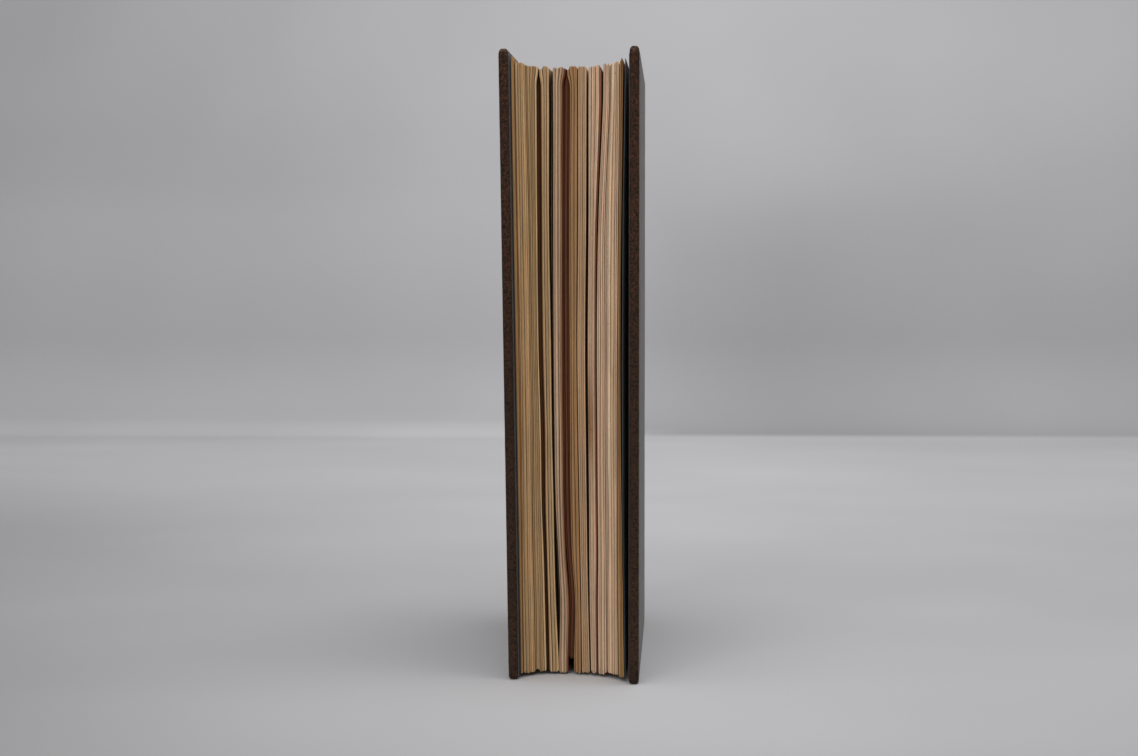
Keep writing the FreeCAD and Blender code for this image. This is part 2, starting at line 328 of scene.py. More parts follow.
# %% [markdown]
# ### Paper edges
# The cut edges of old leaves differ: each gathering has browned in its own tone. The tone is worked out
# leaf by leaf with the mesh, with painted shade and dust in the creases, and stored as a colour at each
# corner. The finish only adds what doesn't follow the leaves: fibres, foxing and dust.

# %% Paper edge finish
def leaf_finish():
    material, tree, shader, where = new_finish("browned_leaves", 0.88, 0.25)
    tone = attribute(tree, "tone", "Color")
    stretched = node(tree, "Mapping", {"Vector": where, "Scale": (1.0, 1.0, 0.22)}).outputs["Vector"]
    fibres = noise(tree, stretched, 2600.0, 4.0, 0.7)
    dust = noise(tree, stretched, 160.0, 4.0, 0.65)
    shade = times(tree, levels(tree, fibres, 0.3, 0.7, 0.86, 1.1),
                  levels(tree, dust, 0.25, 0.75, 0.84, 1.12))
    grey = node(tree, "CombineColor", {0: shade, 1: shade, 2: shade}).outputs[0]
    dusty = mix(tree, 1.0, tone, grey, "MULTIPLY")
    spots = levels(tree, noise(tree, where, 420.0, 2.0), 0.74, 0.8)
    foxed = mix(tree, times(tree, spots, 0.55), dusty, rgba(paint(92, 60, 34)))
    tree.links.new(foxed, shader.inputs["Base Color"])
    bump(tree, shader, fibres, 0.00006)
    return material


paper_finish = leaf_finish()

# %% [markdown]
# ### Papers, card, cloth and thread
# The endpapers are matt black. Board, card, linings and tapes hide inside the binding, but they show
# when a cover is lifted or the part is taken apart, so each has its own plain finish.

# %% Plain sheet finishes
def sheet_finish(name, light, dark, roughness, scale, grain, weave=0.0, dust=0.0):
    """A sheet with cloudy colour between two tones, and a fibre or thread grain."""
    material, tree, shader, where = new_finish(name, roughness, 0.3)
    shader.inputs["Sheen Weight"].default_value = dust
    clouds = levels(tree, noise(tree, where, scale, 4.0), 0.3, 0.7)
    fibres = noise(tree, where, 3000.0, 4.0, 0.7)
    if weave:
        parts = node(tree, "SeparateXYZ", {0: where}).outputs
        around = plus(tree, parts["X"], parts["Y"])
        threads = [node(tree, "Math", {0: times(tree, way, weave)}, operation="SINE").outputs[0]
                   for way in (around, parts["Z"])]
        fibres = plus(tree, times(tree, plus(tree, *threads), 0.4), fibres)
    base = mix(tree, clouds, rgba(dark), rgba(light))
    tree.links.new(mix(tree, levels(tree, fibres, 0.2, 0.8, 0.3, 0.0), base, rgba(np.asarray(dark) * 0.6)),
                   shader.inputs["Base Color"])
    bump(tree, shader, fibres, grain)
    return material


black_paper = sheet_finish("black_endpaper", paint(47, 48, 45), paint(37, 38, 36),
                           0.62, 90.0, 0.00003, dust=0.08)
millboard = sheet_finish("grey_millboard", paint(128, 116, 98), paint(104, 92, 76),
                         0.9, 400.0, 0.0001)
card = sheet_finish("filling_card", paint(170, 156, 132), paint(150, 136, 112),
                    0.9, 200.0, 0.00005)
linen = sheet_finish("linen_tape", paint(186, 172, 146), paint(162, 146, 118),
                     0.9, 200.0, 0.0001, 7000.0)
mull = sheet_finish("open_mull", paint(196, 184, 158), paint(168, 154, 126),
                    0.9, 200.0, 0.00012, 4500.0)
kraft = sheet_finish("brown_lining", paint(150, 118, 84), paint(128, 98, 68),
                     0.85, 150.0, 0.00004)


def thread_finish():
    """Silk wound in bands, whose colour is stored with the mesh."""
    material, tree, shader, where = new_finish("wound_thread", 0.55)
    fibres = noise(tree, where, 5000.0, 3.0)
    shade = levels(tree, fibres, 0.3, 0.7, 0.75, 1.1)
    grey = node(tree, "CombineColor", {0: shade, 1: shade, 2: shade}).outputs[0]
    shaded = mix(tree, 1.0, attribute(tree, "tone", "Color"), grey, "MULTIPLY")
    tree.links.new(shaded, shader.inputs["Base Color"])
    bump(tree, shader, fibres, 0.00005)
    return material


silk = thread_finish()

# %% Dress the parts that keep their shape
kept_finishes = {
    "front_infill": card, "back_infill": card, "front_pastedown": black_paper,
    "back_pastedown": black_paper, "front_flyleaf": black_paper, "back_flyleaf": black_paper,
    "sewing_tapes": linen, "mull": mull, "spine_hollow": kraft,
}
for name, finish in kept_finishes.items():
    for slot in frame["nodes"][name].material_slots:
        slot.material = finish
print("dressed", len(kept_finishes))

# %% [markdown]
# ## The leaves
# The block is drawn as 266 leaves: thirteen gatherings, and one thin fold that stands alone in a dark
# wedge. Seen from the fore-edge each gathering is a ribbon with its own width, tone and set-back. The
# widths are given in millimetres at eight heights, tail to head, and are fitted to the block's width,
# so the ribbons wander as on the real book. A picture of stripes on a block would look flat from the
# side: here each leaf has its own edge, cut a little behind or before its neighbour.

# %% Gatherings, front to back
heights_measured = (0.02, 0.12, 0.19, 0.27, 0.40, 0.52, 0.76, 0.94)
tones = {
    "amber": paint(178, 140, 92), "straw": paint(199, 167, 124), "olive": paint(184, 153, 112),
    "umber_painted_shade": paint(96, 60, 32), "stone": paint(184, 153, 114), "ash": paint(150, 134, 116),
    "grey_rose": paint(182, 153, 125), "brown": paint(92, 54, 32), "tan": paint(161, 124, 85),
    "biscuit": paint(194, 162, 128), "pink_grey": paint(216, 184, 154), "rose": paint(218, 187, 158),
    "pale": paint(226, 195, 164), "rust": paint(126, 72, 44), "honey": paint(186, 134, 84),
}
# Tone of the leaves, tone of the last few, set-back, head lower, tail higher, then the thickness and
# the gap after it at the eight heights
gatherings = (
    ("amber", "honey", 0.6, 0.3, 0.0,
     (1.0, 1.0, 1.1, 1.3, 1.4, 1.5, 1.4, 1.4), 8 * (0.2,)),
    ("straw", "olive", 0.0, 0.0, 0.2,
     (4.9, 5.1, 4.8, 4.6, 4.7, 4.5, 4.8, 4.4), 8 * (0.2,)),
    ("olive", "stone", 0.2, 0.2, 0.1,
     (3.7, 3.4, 3.4, 3.0, 2.9, 2.6, 2.8, 3.6), 8 * (0.1,)),
    # Umber: its dark tone is partly the paper's own brown and partly painted shade of the deep recess it
    # stands back in
    ("umber_painted_shade", "umber_painted_shade", 3.6, 1.6, 0.6,
     (1.2, 1.3, 1.3, 1.5, 1.7, 1.7, 1.8, 1.8), 8 * (0.1,)),
    ("stone", "straw", 0.0, 0.0, 0.4,
     (3.7, 3.0, 2.9, 3.1, 2.7, 3.1, 2.8, 3.0), (0.1, 1.3, 1.1, 0.7, 0.8, 0.8, 0.9, 1.1)),
    ("ash", "ash", 2.8, 1.2, 1.0,
     (0.1, 0.3, 0.3, 0.2, 0.2, 0.2, 0.35, 0.25), (0.1, 0.4, 0.4, 0.2, 0.2, 0.2, 0.65, 0.5)),
    ("grey_rose", "rust", 0.3, 0.3, 0.0,
     (3.9, 3.8, 3.2, 3.6, 3.8, 3.8, 4.0, 4.1), 8 * (0.1,)),
    ("brown", "brown", 1.8, 1.0, 6.5,
     (2.2, 2.4, 2.4, 2.5, 2.7, 2.8, 2.7, 2.9), 8 * (0.1,)),
    ("tan", "tan", 0.0, 0.1, 0.0,
     (2.9, 2.2, 3.1, 3.3, 3.0, 2.8, 3.3, 2.9), 8 * (0.4,)),
    ("biscuit", "biscuit", 0.4, 0.0, 0.2,
     (3.2, 2.9, 2.9, 3.0, 3.2, 3.2, 3.4, 3.5), (0.7, 0.8, 1.0, 1.2, 1.2, 1.3, 1.2, 1.0)),
    ("pink_grey", "rust", 0.0, 0.3, 0.4,
     (2.8, 3.1, 3.4, 3.3, 3.5, 3.4, 3.7, 5.5), (0.4, 0.4, 0.4, 0.4, 0.4, 0.4, 0.6, 0.7)),
    ("rose", "rose", 0.3, 0.0, 0.0,
     (3.4, 3.5, 3.2, 3.2, 3.2, 3.4, 2.7, 2.6), 8 * (0.3,)),
    ("pale", "pale", 0.1, 0.2, 0.4,
     (4.7, 4.7, 4.7, 4.9, 5.0, 5.1, 5.5, 3.9), 8 * (0.3,)),
    ("amber", "honey", 0.7, 0.0, 0.0,
     (2.2, 2.1, 1.9, 1.6, 1.4, 1.1, 1.1, 1.3), 8 * (0.0,)),
)
leaf = 0.15  # thickness of a leaf, in millimetres
stain = {"gathering": "pink_grey", "height": 0.42, "half": 0.08, "loss": (0.42, 0.56, 0.7)}

# %% [markdown]
# ### The block's outline
# In plan the block has a hollow fore-edge, nearly straight sides, shoulders that flare over the
# boards and a round spine. The leaves are then placed inside that outline.

# %% Outline of the block
square, fore_edge_square, fore_edge_hollow = 3.2 * MM, 4.6 * MM, 14.0 * MM
fore_edge_drop, middle_sag, level_reach = 1.6 * MM, 1.5 * MM, 15.0 * MM
spine_half, spine_round = 22.5 * MM, 14.5 * MM
shoulder_back, shoulder_below, flare_start = 1.6 * MM, 1.9 * MM, 1.2 * MM
side_below = cover_thickness + cover_clearance + flyleaf
# How far the block has drawn in from the back cover's side at tail, middle and head
back_slack = (0.2 * MM, 1.7 * MM, 0.7 * MM)
block_reach = cover_reach - fore_edge_square


def fore_edge_ends(t):
    """Where the block's two sides meet the fore-edge, at height t from 0 at the tail to 1."""
    left = on_cover(FRONT, block_reach, -side_below, t * board_height)[..., 0]
    slack = curve_through((0, 0.5, 1), back_slack, t)
    return left, middle_x + spine_half - slack


def fore_edge_y(x, t):
    """The hollow fore-edge: a round arc whose chord runs askew between the two corners."""
    left, right = fore_edge_ends(t)
    half = (right - left) / 2
    along = (x - (left + right) / 2) / half
    radius = (half**2 + fore_edge_hollow**2) / (2 * fore_edge_hollow)
    rise = np.sqrt(np.maximum(radius**2 - (half * along) ** 2, 0)) - (radius - fore_edge_hollow)
    return middle_y - along * skew / 2 - block_reach + rise


def circle_through(a, b, c):
    """Centre and radius of the circle through three points in plan."""
    rows = 2 * np.array([[b[0] - a[0], b[1] - a[1]], [c[0] - a[0], c[1] - a[1]]])
    sums = np.array([b @ b - a @ a, c @ c - a @ a])
    centre = np.linalg.solve(rows, sums)
    return centre, np.linalg.norm(a - centre)


shoulders = {side: place(side, -shoulder_back, -shoulder_below, 0.0)[:2] for side in (FRONT, BACK)}
crown = np.array([middle_x, middle_y + shoulder_back + spine_round])
spine_centre, spine_radius = circle_through(shoulders[BACK], crown, shoulders[FRONT])
print("spine radius", round(spine_radius, 5))


def spine_y(x):
    """The round of the folds, seen from above."""
    return spine_centre[1] + np.sqrt(np.maximum(spine_radius**2 - (x - spine_centre[0]) ** 2, 0))


# %% Places of the gatherings across the block
# Gatherings set back by more than sunk_from, in millimetres, are pinched at the head: what share of
# their width they lose, from which height t, and over what length of t
sunk_from = 1
pinch_share, pinch_start, pinch_length = 0.85, 0.972, 0.026


def widths_at(t):
    """Left and right limit of each gathering at the fore-edge, fitted to the block's width. The
    sunk gatherings are pinched at the head: each gives most of its width to its neighbours."""
    thick = np.array([curve_through(heights_measured, g[5], t) for g in gatherings])
    gaps = np.array([curve_through(heights_measured, g[6], t) for g in gatherings])
    sunk = np.array([g[2] > sunk_from for g in gatherings])[:, None]
    freed = thick * sunk * pinch_share * smooth_step((t - pinch_start) / pinch_length)
    thick -= freed
    thick[:-1] += freed[1:] / 2
    thick[1:] += freed[:-1] / 2
    left, right = fore_edge_ends(t)
    ends = np.cumsum(thick + gaps, 0)
    scale = (right - left) / ends[-1]
    return left + (ends - thick - gaps) * scale, left + (ends - gaps) * scale


def places_at_spine():
    """The same at the spine, as shares from -1 to 1, where the folds lie tight together."""
    thick = np.array([np.mean(g[5]) for g in gatherings])
    ends = np.cumsum(thick) / thick.sum() * 2 - 1
    return np.concatenate([[-1], ends[:-1]]), ends


# %% [markdown]
# ### One gathering
# A gathering is folded sheets sewn through the fold. It is modelled as one closed skin, with three
# steps across each leaf: a crease, then the two edges of the leaf's cut. Every leaf has its own chance
# set-back, height and tone, and the leaves of a fold share some of it, as they do on the real book.

# %% Steps through a gathering
# From the folds to the fore-edge, close together where the outline turns
r_steps = np.concatenate([[0, 0.004, 0.008, 0.012, 0.017, 0.03, 0.06, 0.1], np.linspace(0.2, 0.9, 8),
                          [0.94, 0.97, 0.99, 1]])
# From tail to head, a little closer together at both ends
t_even = np.linspace(0, 1, 100)
t_steps = 0.7 * t_even + 0.3 * (1 - np.cos(np.pi * t_even)) / 2


def leaf_steps(rng, count, first):
    """Across a gathering: for each leaf a crease and the two edges of its cut, three steps a leaf.
    The crease before the first leaf of a fold is wide, because the fold's leaves round off there."""
    thick = rng.uniform(0.7, 1.3, count) + 2.2 * first
    ends = np.concatenate([[0], np.cumsum(thick) / thick.sum()])
    start, width = ends[:-1], np.diff(ends)
    steps = np.stack([start, start + (0.2 + 0.5 * first) * width, start + 0.85 * width], -1).ravel()
    return np.append(steps, 1.0)


def fold_firsts(rng, count):
    """Marks the first leaf of each fold: four to eight leaves each, the last fold perhaps fewer."""
    first, at = np.zeros(count), 0
    while at < count:
        first[at] = 1
        at += rng.integers(4, 9)
    return first


def gathering_cells(rng, thick):
    """The cells of one gathering, as arrays with one value for each corner: r runs from the folds to
    the fore-edge, k through the leaves and t from tail to head, and within runs across the corner's
    fold. crease is 1 in the crease before a leaf, and fold_crease in the crease before a fold."""
    count = max(4, round(np.mean(thick) / leaf))
    first = fold_firsts(rng, count)
    first[0] = 0
    k_steps = leaf_steps(rng, count, first)
    corners, quads = box_skin((len(r_steps), len(k_steps), len(t_steps)))
    ri, ki, ti = corners.T
    k = k_steps[ki]
    leaf_number = np.minimum(ki // 3, count - 1)
    fold_of_leaf = np.cumsum(first).astype(int)
    fold_number = fold_of_leaf[leaf_number]
    fold_ends = np.append(k_steps[np.flatnonzero(np.append([1], first[1:])) * 3], 1.0)
    within = (k - fold_ends[fold_number]) / (fold_ends[fold_number + 1] - fold_ends[fold_number])
    crease = (ki % 3 == 0) * 1.0
    return SimpleNamespace(
        quads=quads, r=r_steps[ri], k=k, t=t_steps[ti], ti=ti, at_fore_edge=ri == ri.max(),
        leaves=count, folds=fold_of_leaf.max() + 1, leaf_number=leaf_number, fold_number=fold_number,
        within=within, crease=crease, fold_crease=crease * first[leaf_number])


# %% Plan and heights of a gathering
# How far folds sway sideways and leaves and folds stand back from the outline, in millimetres
fold_sway, least_inset, leaf_stand, fold_stand, fold_inset = 0.1, 0.35, 0.09, 0.22, 1.0
# How much head and tail are cut back: by leaf, by fold, in creases and at a gathering's two sides
leaf_cut, fold_cut, crease_cut, fold_crease_cut, side_cut = 0.14, 0.4, 0.15, 0.7, 0.8
# The boards hold the outermost leaves up at the head: how much, and over what distance
held_front, held_back = (3.3, 1.9), (0.8, 2)


def gathering_plan(rng, index, cells):
    """Each corner's x and y, the x where its leaf meets the fore-edge, and the y of the line between
    the hinges there. x and y run evenly from the folds to the fore-edge, and x spreads out over the
    shoulders behind the hinges."""
    leaf_number, fold_number, ti = cells.leaf_number, cells.fold_number, cells.ti
    lefts, rights = widths_at(t_steps)
    sway = wander(rng, cells.folds + 1, 8, t_steps) * fold_sway * MM
    sway[[0, -1]] = 0
    lean = sway[fold_number, ti] * (1 - cells.within) + sway[fold_number + 1, ti] * cells.within
    width = (rights[index] - lefts[index])[ti]
    fore_x = lefts[index][ti] + width * cells.k + lean * np.minimum(width / (2 * MM), 1)
    spine_left, spine_right = places_at_spine()
    share = spine_left[index] + (spine_right[index] - spine_left[index]) * cells.k
    base_x = middle_x + spine_half * share
    flat_x = base_x + (fore_x - base_x) * cells.r

    leaf_wander = wander(rng, cells.leaves, 9, t_steps)
    fold_wander = wander(rng, cells.folds, 5, t_steps)
    stand = leaf_stand * leaf_wander[leaf_number, ti] + fold_stand * fold_wander[fold_number, ti]
    depth = rng.uniform(0.1, 0.3, cells.leaves)[leaf_number]
    set_back = gatherings[index][2]
    inset = (set_back + least_inset + stand + cells.crease * depth + cells.fold_crease * fold_inset) * MM

    spread = half_hinge - shoulder_below - spine_half
    fold_y = spine_y(middle_x + (spine_half + spread) * share)
    y = fold_y + (fore_edge_y(fore_x, cells.t) - fold_y) * cells.r
    y = y + np.maximum(inset, 0) * cells.at_fore_edge
    hinge_line = middle_y - share * skew / 2
    flare = smooth_step((flare_start - (hinge_line - y)) / (flare_start + shoulder_back))
    return flat_x + spread * share * flare, y, fore_x, hinge_line


def gathering_heights(rng, index, cells, y, fore_x, hinge_line):
    """Each corner's z, between a tail and a head that sag towards the fore-edge, most in the middle of
    the block, and that every leaf, fold and crease cuts back a little."""
    head_low, tail_high = gatherings[index][3:5]
    reach = np.clip((hinge_line - y - level_reach) / (block_reach - level_reach), 0, 1)
    across = (index + 0.5) / len(gatherings) * 2 - 1
    sag = fore_edge_drop + middle_sag * (1 - across**2)
    cut = np.abs(rng.normal(size=(2, cells.leaves)))[:, cells.leaf_number] * leaf_cut + np.abs(
        rng.normal(size=(2, cells.folds)))[:, cells.fold_number] * fold_cut
    cut = cut + cells.crease * crease_cut + cells.fold_crease * fold_crease_cut
    cut += side_cut * np.abs(2 * cells.k - 1) ** 5
    left, right = fore_edge_ends(cells.t)
    held_up = (held_front[0] * np.exp(-(fore_x - left) / (held_front[1] * MM))
               + held_back[0] * np.exp(-(right - fore_x) / (held_back[1] * MM))) * MM
    head = board_height - square - reach * (sag + head_low * MM - held_up) - cut[0] * MM
    tail = square - reach * (sag - tail_high * MM) + cut[1] * MM
    return tail + (head - tail) * cells.t


# %% Tones of a gathering, and the gathering itself
# How much the tones vary by leaf, by fold and along a leaf, and how much warmer or cooler they get
leaf_spread, fold_spread, along_spread, leaf_warmth, fold_warmth = 0.14, 0.1, 0.06, 0.028, 0.015
# Shares of the leaves that are paler and browner than the rest
pale_share, brown_share = 0.07, 0.09


def leaf_tones(rng, tone, last_tone, cells):
    """The colour at each corner: the gathering's tone, varied by fold, by leaf and along the leaf. The
    last leaves take a second tone, a few leaves are paler or browner, and the creases are darker and
    warmer, which is painted shade together with dust."""
    leaf_number, fold_number, ti = cells.leaf_number, cells.fold_number, cells.ti
    share_done = leaf_number / max(cells.leaves - 1, 1)
    last = smooth_step((share_done - 0.8) / 0.15)[:, None]
    colour = tones[tone] * (1 - last) + tones[last_tone] * last
    value = 1 + leaf_spread * rng.normal(size=cells.leaves)[leaf_number]
    value = value + fold_spread * rng.normal(size=cells.folds)[fold_number]
    value += along_spread * wander(rng, cells.leaves, 9, t_steps)[leaf_number, ti]
    is_pale = (rng.random(cells.leaves) < pale_share)[leaf_number]
    pale_leaf = is_pale * smooth_step(wander(rng, cells.leaves, 6, t_steps) + 0.5)[leaf_number, ti]
    brown_leaf = (rng.random(cells.leaves) < brown_share)[leaf_number] * 1.0
    warmth = leaf_warmth * rng.normal(size=cells.leaves)[leaf_number]
    warmth = warmth + fold_warmth * rng.normal(size=cells.folds)[fold_number]
    warmth = np.maximum(warmth - warmth.mean(), -0.03)
    value /= value.mean()
    # The creases carry painted shade with dust: darker before each leaf, and darker still before a fold
    value *= (1 - 0.4 * cells.crease) * (1 - 0.72 * cells.fold_crease) * (1 + 0.15 * pale_leaf) * (
        1 - 0.35 * brown_leaf)
    # Browner leaves are their own tone; the warmth before a fold is painted shade with dust
    warmth = warmth + 0.16 * brown_leaf + 0.14 * cells.fold_crease
    tint = np.stack([1 + warmth, np.ones(len(warmth)), 1 - warmth], -1)
    return np.clip(colour * np.clip(value, 0.3, 1.5)[:, None] * tint, 0.005, 0.9)


def gathering_piece(index):
    """One folded gathering as a closed skin of cells, with its own chance and its own tones."""
    tone, last_tone, _, _, _, thick, _ = gatherings[index]
    rng = np.random.default_rng(100 + index)
    cells = gathering_cells(rng, thick)
    x, y, fore_x, hinge_line = gathering_plan(rng, index, cells)
    z = gathering_heights(rng, index, cells, y, fore_x, hinge_line)
    piece = make_piece("gathering_%02d" % (index + 1), np.stack([x, y, z], -1), cells.quads,
                       paper_finish, "book_block", 60.0)
    colour = leaf_tones(rng, tone, last_tone, cells)
    if tone == stain["gathering"]:
        away = ((cells.t - stain["height"]) / stain["half"]) ** 2
        soaked = np.exp(-away) * (1 - cells.k) ** 0.7
        colour = colour * (1 - soaked[:, None] * np.array(stain["loss"]))
    give_attribute(piece, "tone", colour)
    return piece


leaves = [gathering_piece(index) for index in range(len(gatherings))]
for piece in leaves:
    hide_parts("text_block")
print("triangles in the leaves", 2 * sum(len(piece.data.polygons) for piece in leaves))

# %% [markdown]
# ## The covers
# A cover is a millboard with leather drawn over its outer face and turned in round three edges. The
# board and its skin share one formula: a slab whose two corners at the fore-edge are rounded, whose
# long edges are rounded too, and which thins a little towards the head, where it has been handled.

# %% Rounded slab of a cover
corner_radius, edge_round = 3.0 * MM, 1.3 * MM
fine = np.array([0, 0.1, 0.25, 0.45, 0.7, 1.0, 1.3, 1.8, 2.4, 3.0]) * MM


def cover_steps(low, high, spacing, low_fine, high_fine):
    """Even steps with finer ones next to the ends that get rounded."""
    start = low + fine if low_fine else np.array([low])
    stop = high - fine[::-1] if high_fine else np.array([high])
    count = max(2, round((stop[0] - start[-1]) / spacing))
    return np.concatenate([start, np.linspace(start[-1], stop[0], count + 1)[1:-1], stop])


def rounded_slab(side, under, near):
    """A cover's slab, under the skin's face by under, from near at the hinge. It gives the places,
    the cell numbers, the quads and each corner's distance from the edge."""
    radius, edge = corner_radius - under, edge_round - under * 0.6
    far = cover_reach - under
    us = cover_steps(near, far, 3 * MM, False, True)
    ws = -under - (cased - 2 * under) * np.array([1, 0.93, 0.84, 0.75, 0.5, 0.25, 0.16, 0.07, 0])
    zs = cover_steps(under, board_height - under, 3 * MM, True, True)
    corners, quads = box_skin((len(us), len(ws), len(zs)), side == BACK)
    u, w, z = us[corners[:, 0]], ws[corners[:, 1]], zs[corners[:, 2]]
    core_u = np.minimum(u, far - radius)
    core_z = np.clip(z, under + radius, board_height - under - radius)
    out = np.stack([u - core_u, z - core_z], -1)
    length = np.linalg.norm(out, axis=1)
    square_length = np.abs(out).max(1)
    way = out / np.maximum(length, 1e-9)[:, None]
    inside = np.where(length > 0, radius - square_length, radius)
    outer, inner = -under, under - cased
    from_face = np.minimum(outer - w, w - inner)
    a, b = np.maximum(edge - inside, 0), np.maximum(edge - from_face, 0)
    both = (a > 0) & (b > 0)
    shrink = np.where(both, np.maximum(a, b) / np.maximum(np.hypot(a, b), 1e-9), 1)
    inside = np.where(a > 0, edge - a * shrink, inside)
    from_face_round = np.where(b > 0, edge - b * shrink, from_face)
    w = np.where(outer - w < w - inner, outer - from_face_round, inner + from_face_round)
    moved = length > 0
    u = np.where(moved, core_u + way[:, 0] * (radius - inside), u)
    z = np.where(moved, core_z + way[:, 1] * (radius - inside), z)
    return u, w, z, corners, quads, inside


def thin_towards_head(u, w, z):
    """Pulls both faces towards the middle of the board near the head, most at the fore-edge."""
    middle, dome = -cased / 2, 3.2 * MM
    to_head = np.clip(board_height - z, 0, dome)
    round_head = 1 - np.sqrt(1 - 0.45 * ((dome - to_head) / dome) ** 2)
    corner = 0.4 + 0.6 * np.exp(-(cover_reach - u) / (20 * MM))
    return middle + (w - middle) * (1 - round_head * corner)


# %% Board and skin of both covers
turn_in = 15.0 * MM


def cover_skin(side):
    """The leather of one cover. The cells over the filled field inside and at the hinge are left
    out, and what stays is thickened inwards, so the skin really is turned in round the board."""
    name = SIDE_NAMES[side] + "_cover_skin"
    u, w, z, corners, quads, inside = rounded_slab(side, 0.0, skin_gap)
    at_inner = (corners[quads][:, :, 1] == 0).all(1)
    centre_u, centre_z = u[quads].mean(1), z[quads].mean(1)
    in_field = (centre_u < cover_reach - turn_in) & (np.abs(centre_z - board_height / 2) <
                                                    board_height / 2 - turn_in)
    at_hinge = (corners[quads][:, :, 0] == 0).all(1)
    quads = quads[~(at_inner & in_field) & ~at_hinge]
    used, quads = np.unique(quads, return_inverse=True)
    quads = quads.reshape(-1, 4)
    u, w, z, inside, corners = u[used], w[used], z[used], inside[used], corners[used]
    lump = np.sin(u * 310 + 1.3) * np.sin(z * 190 + 0.7) + 0.6 * np.sin(u * 130 - z * 240)
    w = thin_towards_head(u, w, z) - 0.03 * MM * np.abs(lump) * (corners[:, 1] != 0)
    points = on_cover(side, u, w, z)
    piece = make_piece(name, points, quads, skin_finish, sharp=50.0)
    to_head, to_tail, to_fore = board_height - z, z, cover_reach - u
    at_edge = np.exp(-inside / (0.9 * MM))
    at_head_corner = np.exp(-np.hypot(to_head, to_fore) / (6 * MM))
    at_tail_corner = np.exp(-np.hypot(to_tail, to_fore) / (4 * MM))
    give_attribute(piece, "wear", 0.28 * at_edge + 0.36 * at_head_corner + 0.25 * at_tail_corner)
    give_attribute(piece, "handled", np.exp(-to_fore / (30 * MM)))
    wall = piece.modifiers.new("thickness", "SOLIDIFY")
    wall.thickness, wall.offset = leather, -1.0
    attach(piece, SIDE_NAMES[side] + "_cover")
    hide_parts(SIDE_NAMES[side] + "_cover_leather")
    return piece


def cover_board(side):
    """The millboard, a leather's thickness inside the skin."""
    u, w, z, corners, quads, _ = rounded_slab(side, leather, joint_gap)
    points = on_cover(side, u, thin_towards_head(u, w, z), z)
    piece = make_piece(SIDE_NAMES[side] + "_millboard", points, quads, millboard,
                       SIDE_NAMES[side] + "_cover", 50.0)
    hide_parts(SIDE_NAMES[side] + "_board")
    return piece


for side in (FRONT, BACK):
    cover_skin(side)
    cover_board(side)

# %% [markdown]
# ## The spine
# One strip of leather follows the round of the folds and is drawn over the headbands at both ends,
# which makes the caps. A profile of the skin, cut upright, is carried along the spine's arc.

# %% Spine skin
lining, cap_reach, cap_lip, cap_round = 1.2 * MM, 2.6 * MM, 0.7 * MM, 0.9 * MM
strip_set_in = 0.12 * MM
spine_outer = lining + leather - 0.01 * MM


def arc_steps(centre, radius, start, stop, count):
    """Points on a round, between two angles."""
    turn = np.linspace(start, stop, count)
    return np.stack([centre[0] + radius * np.cos(turn), centre[1] + radius * np.sin(turn)], -1)


def tube_quads(rows, around):
    """The quads of a tube: rings of corners joined one to the next, and each end closed by a strip
    between the first half of its ring and the other half, walked backwards."""
    grid = np.arange(rows * around).reshape(rows, around)
    loop = np.concatenate([grid, grid[:, :1]], 1)
    sides = np.stack([loop[1:, :-1], loop[1:, 1:], loop[:-1, 1:], loop[:-1, :-1]], -1).reshape(-1, 4)
    ends = []
    for ring in (grid[0], grid[-1, ::-1]):
        first, second = ring[:around // 2], ring[::-1][:around // 2]
        ends.append(np.stack([first[:-1], first[1:], second[1:], second[:-1]], -1))
    return np.concatenate([sides] + ends)


def spine_profile():
    """The skin cut upright, as a closed loop of (distance out from the folds, height)."""
    outer, inner = spine_outer, lining
    lip = outer - cap_reach
    heights = np.linspace(cap_round, board_height - cap_round, 60)
    wall = np.stack([np.full(60, outer), heights], -1)
    over = arc_steps((outer - cap_round, board_height - cap_round), cap_round, 0, np.pi / 2, 8)[1:]
    edge = np.array([[lip + cap_lip / 2, board_height]])
    lip_middle = (lip + cap_lip / 2, board_height - cap_lip / 2)
    nose = arc_steps(lip_middle, cap_lip / 2, np.pi / 2, 3 * np.pi / 2, 7)[1:]
    under = np.array([[inner, board_height - cap_lip]])
    upper = np.concatenate([over, edge, nose, under])
    lower = upper[::-1] * [1, -1] + [0, board_height]
    inside = np.stack([np.full(30, inner), np.linspace(board_height - cap_lip, cap_lip, 32)[1:-1]], -1)
    return np.concatenate([wall, upper, inside, lower])


def spine_turns():
    """The angles of the spine's round in plan, from the back shoulder to the front one."""
    ends = [math.atan2(*(shoulders[side] - spine_centre)[::-1]) for side in (BACK, FRONT)]
    return np.linspace(ends[0], ends[1], 72)


def spine_piece():
    """The profile at every angle of the round, and once more at each joint, where the strip ends."""
    profile, turns = spine_profile(), spine_turns()
    out, z = profile.T
    points = np.zeros((len(turns) + 2, len(profile), 3))
    points[1:-1, :, 0] = spine_centre[0] + (spine_radius + out) * np.cos(turns)[:, None]
    points[1:-1, :, 1] = spine_centre[1] + (spine_radius + out) * np.sin(turns)[:, None]
    points[1:-1, :, 2] = z
    depth = np.clip(spine_outer - out, 0, leather)
    for row, side in ((0, BACK), (-1, FRONT)):
        points[row] = place(side, -skin_gap, -strip_set_in - depth, z)
    points = points.reshape(-1, 3)
    quads = tube_quads(len(turns) + 2, len(profile))
    piece = make_piece("spine_skin", points, quads, skin_finish, sharp=50.0)
    z = points[:, 2]
    to_end = np.minimum(z, board_height - z)
    give_attribute(piece, "wear", np.clip(0.75 * np.exp(-to_end / (3 * MM)) + 0.08, 0, 1))
    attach(piece, "book_block")
    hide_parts("spine_leather")
    return piece


spine_piece()
